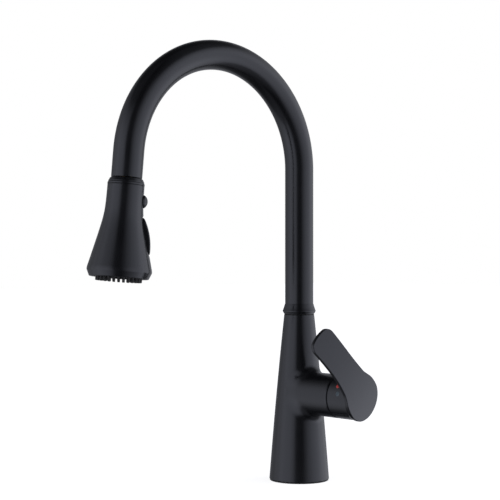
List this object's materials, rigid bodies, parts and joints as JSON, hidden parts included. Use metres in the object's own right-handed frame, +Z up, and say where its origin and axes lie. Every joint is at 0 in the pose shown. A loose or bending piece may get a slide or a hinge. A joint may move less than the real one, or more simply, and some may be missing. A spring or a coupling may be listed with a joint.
{
  "type": "kitchen faucet",
  "caption": "Single hole pull down kitchen faucet with a high turning gooseneck, a docked bell shaped spray head and a side lever.",
  "frame": {"origin": "on the body's axis, at the surface of the deck that it is mounted on", "axes": "+Z up along the body's axis, -Y towards the spray head at rest, +X along the valve's axis to the lever"},
  "size_m": [0.1219, 0.2784, 0.4841],
  "materials": {
    "matte_black": "satin black powder coat",
    "black_plastic": "moulded, satin",
    "black_rubber": "matte",
    "brass": "machined",
    "steel": "brushed",
    "white_plastic": "moulded acetal",
    "ceramic": "lapped alumina ceramic",
    "hose_braid": "grey nylon braid",
    "hot_red": "enamel",
    "cold_blue": "enamel"
  },
  "bodies": {
    "base": {"faucet_body": "matte_black", "base_gasket": "black_rubber", "mounting_shank": "brass", "deck_rubber_washer": "black_rubber", "deck_steel_washer": "steel", "mounting_nut": "brass", "nut_screws": "steel", "spout_slip_washer": "black_plastic", "cartridge_housing": "white_plastic", "cartridge_seals": "black_rubber", "fixed_disc": "ceramic", "cartridge_nut": "brass", "bonnet_ring": "matte_black"},
    "spout": {"spout_tube": "matte_black", "spout_collar": "matte_black", "swivel_sleeve": "brass", "swivel_o_rings": "black_rubber", "swivel_clip": "white_plastic", "dock_insert": "black_plastic", "dock_magnet": "steel", "pull_out_hose": "hose_braid"},
    "hose_end": {"hose_run_out": "hose_braid", "hose_connector": "brass", "connector_o_rings": "black_rubber"},
    "spray_head": {"head_shell": "matte_black", "head_collar": "matte_black", "dock_ring": "steel", "swivel_socket": "brass", "check_valve": "white_plastic", "diverter_block": "white_plastic", "face_ring": "black_plastic", "spray_plate": "black_plastic", "rubber_nozzles": "black_rubber", "aerator": "black_plastic", "button_carrier": "black_plastic", "rocker_pin": "steel", "pause_spring": "steel"},
    "rocker": {"spray_rocker": "matte_black"},
    "plunger": {"diverter_plunger": "white_plastic"},
    "pause": {"pause_button": "matte_black"},
    "turret": {"cartridge_turret": "white_plastic", "stem_pin": "steel"},
    "disc": {"moving_disc": "ceramic"},
    "lever": {"valve_stem": "brass", "lever_handle": "matte_black", "lever_set_screw": "steel", "set_screw_plug": "matte_black", "hot_mark": "hot_red", "cold_mark": "cold_blue"}
  },
  "joints": [
    {"name": "spout_swivel", "type": "hinge", "parent": "base", "child": "spout", "pos_m": [0, 0, 0.165], "axis": [0, 0, 1], "continuous": true},
    {"name": "spray_head_pull", "type": "slide", "parent": "spout", "child": "hose_end", "axis": [0, -0.0958, -0.9954], "range_m": [0, 0.18], "stiffness_N_per_m": 4, "springref_m": -2, "deforming": ["hose_run_out"]},
    {"name": "spray_head_swivel", "type": "hinge", "parent": "hose_end", "child": "spray_head", "pos_m": [0, -0.21286, 0.27852], "axis": [0, -0.0958, -0.9954], "continuous": true},
    {"name": "spray_rocker_tilt", "type": "hinge", "parent": "spray_head", "child": "rocker", "pos_m": [0.00729, -0.20642, 0.24073], "axis": [0.809, -0.5851, 0.0563], "range_deg": [-4, 4]},
    {"name": "diverter_slide", "type": "slide", "parent": "spray_head", "child": "plunger", "axis": [0.5878, 0.8053, -0.0775], "range_m": [-0.00065, 0.00065]},
    {"name": "pause_press", "type": "slide", "parent": "spray_head", "child": "pause", "axis": [-0.5878, -0.8053, 0.0775], "range_m": [0, 0.0015], "stiffness_N_per_m": 600, "springref_m": -0.002, "deforming": ["pause_spring"]},
    {"name": "temperature_turn", "type": "hinge", "parent": "base", "child": "turret", "pos_m": [0.039, 0, 0.087], "axis": [1, 0, 0], "range_deg": [-45, 45]},
    {"name": "flow_tilt", "type": "hinge", "parent": "turret", "child": "lever", "pos_m": [0.039, 0, 0.087], "axis": [0, 0.7361, 0.6769], "range_deg": [0, 22]},
    {"name": "disc_slide", "type": "slide", "parent": "turret", "child": "disc", "axis": [0, -0.6769, 0.7361], "range_m": [0, 0.00385]}
  ],
  "couplings": [
    {"joint": "disc_slide", "follows": "flow_tilt", "m_per_rad": 0.01},
    {"joint": "diverter_slide", "follows": "spray_rocker_tilt", "m_per_rad": -0.009}
  ]
}
